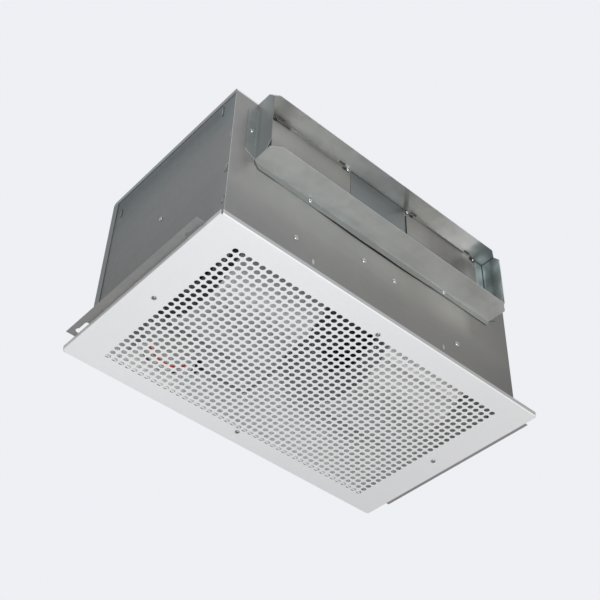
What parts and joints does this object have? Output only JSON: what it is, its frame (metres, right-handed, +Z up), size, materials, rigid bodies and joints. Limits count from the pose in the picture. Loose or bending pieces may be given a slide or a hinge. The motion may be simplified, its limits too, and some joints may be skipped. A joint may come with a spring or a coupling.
{
  "type": "ceiling exhaust fan",
  "caption": "Ceiling exhaust fan with a galvanised box housing, a white perforated intake grille, centrifugal blowers and a side outlet collar with backdraft flaps.",
  "frame": {"origin": "centre of the bounding box on the ground plane under the grille screws", "axes": "+Z up as installed, +X along the long side, the outlet collar faces -Y"},
  "size_m": [0.699, 0.4256, 0.3344],
  "materials": {
    "galvanised": "galvanised sheet steel, satin",
    "white_paint": "satin white enamel",
    "bright_zinc": "bright zinc plating",
    "foam": "closed cell foam",
    "steel": "ground steel",
    "dark_steel": "dark laminated steel",
    "motor_paint": "semi gloss dark enamel",
    "rubber": "black rubber",
    "aluminium": "drawn aluminium can",
    "black_plastic": "moulded plastic",
    "black_cord": "insulated cord",
    "red_wire": "insulated wire",
    "white_wire": "insulated wire"
  },
  "bodies": {
    "housing": {"top_panel": "galvanised", "front_panel": "galvanised", "rear_panel": "galvanised", "left_panel": "galvanised", "right_panel": "galvanised", "outlet_post": "galvanised", "grille": "white_paint", "grille_screws": "bright_zinc", "left_bracket": "galvanised", "right_bracket": "galvanised", "bracket_screws": "bright_zinc", "collar_top": "galvanised", "collar_bottom": "galvanised", "collar_left": "galvanised", "collar_right": "galvanised", "collar_screws": "bright_zinc", "hinge_clips": "bright_zinc", "hinge_screws": "bright_zinc", "flap_seals": "foam", "front_screws": "bright_zinc", "top_screws": "bright_zinc", "side_screws": "bright_zinc", "left_scroll_wrap": "galvanised", "right_scroll_wrap": "galvanised", "left_scroll_outer_side": "galvanised", "left_scroll_inner_side": "galvanised", "right_scroll_inner_side": "galvanised", "right_scroll_outer_side": "galvanised", "inlet_rings": "galvanised", "scroll_feet": "galvanised", "motor_shell": "motor_paint", "motor_stator": "dark_steel", "left_motor_bell": "motor_paint", "right_motor_bell": "motor_paint", "motor_bearings": "steel", "mount_rings": "rubber", "motor_cradle": "motor_paint", "capacitor": "aluminium", "capacitor_strap": "galvanised", "wiring_box": "galvanised", "wiring_cover": "galvanised", "receptacle": "black_plastic", "motor_plug": "black_plastic", "motor_cord": "black_cord", "red_lead": "red_wire", "white_lead": "white_wire", "black_lead": "black_cord"},
    "rotor": {"left_wheel": "galvanised", "right_wheel": "galvanised", "wheel_set_screws": "dark_steel", "shaft": "steel", "motor_rotor": "dark_steel"},
    "left_flap_body": {"left_flap": "galvanised", "left_hinge_pin": "bright_zinc"},
    "right_flap_body": {"right_flap": "galvanised", "right_hinge_pin": "bright_zinc"}
  },
  "joints": [
    {"name": "rotor_spin", "type": "hinge", "parent": "housing", "child": "rotor", "pos_m": [0, -0.02575, 0.1512], "axis": [1, 0, 0], "continuous": true},
    {"name": "left_flap_swing", "type": "hinge", "parent": "housing", "child": "left_flap_body", "pos_m": [-0.154, -0.16535, 0.3237], "axis": [-1, 0, 0], "range_deg": [0, 75]},
    {"name": "right_flap_swing", "type": "hinge", "parent": "housing", "child": "right_flap_body", "pos_m": [0.154, -0.16535, 0.3237], "axis": [-1, 0, 0], "range_deg": [0, 75]}
  ]
}
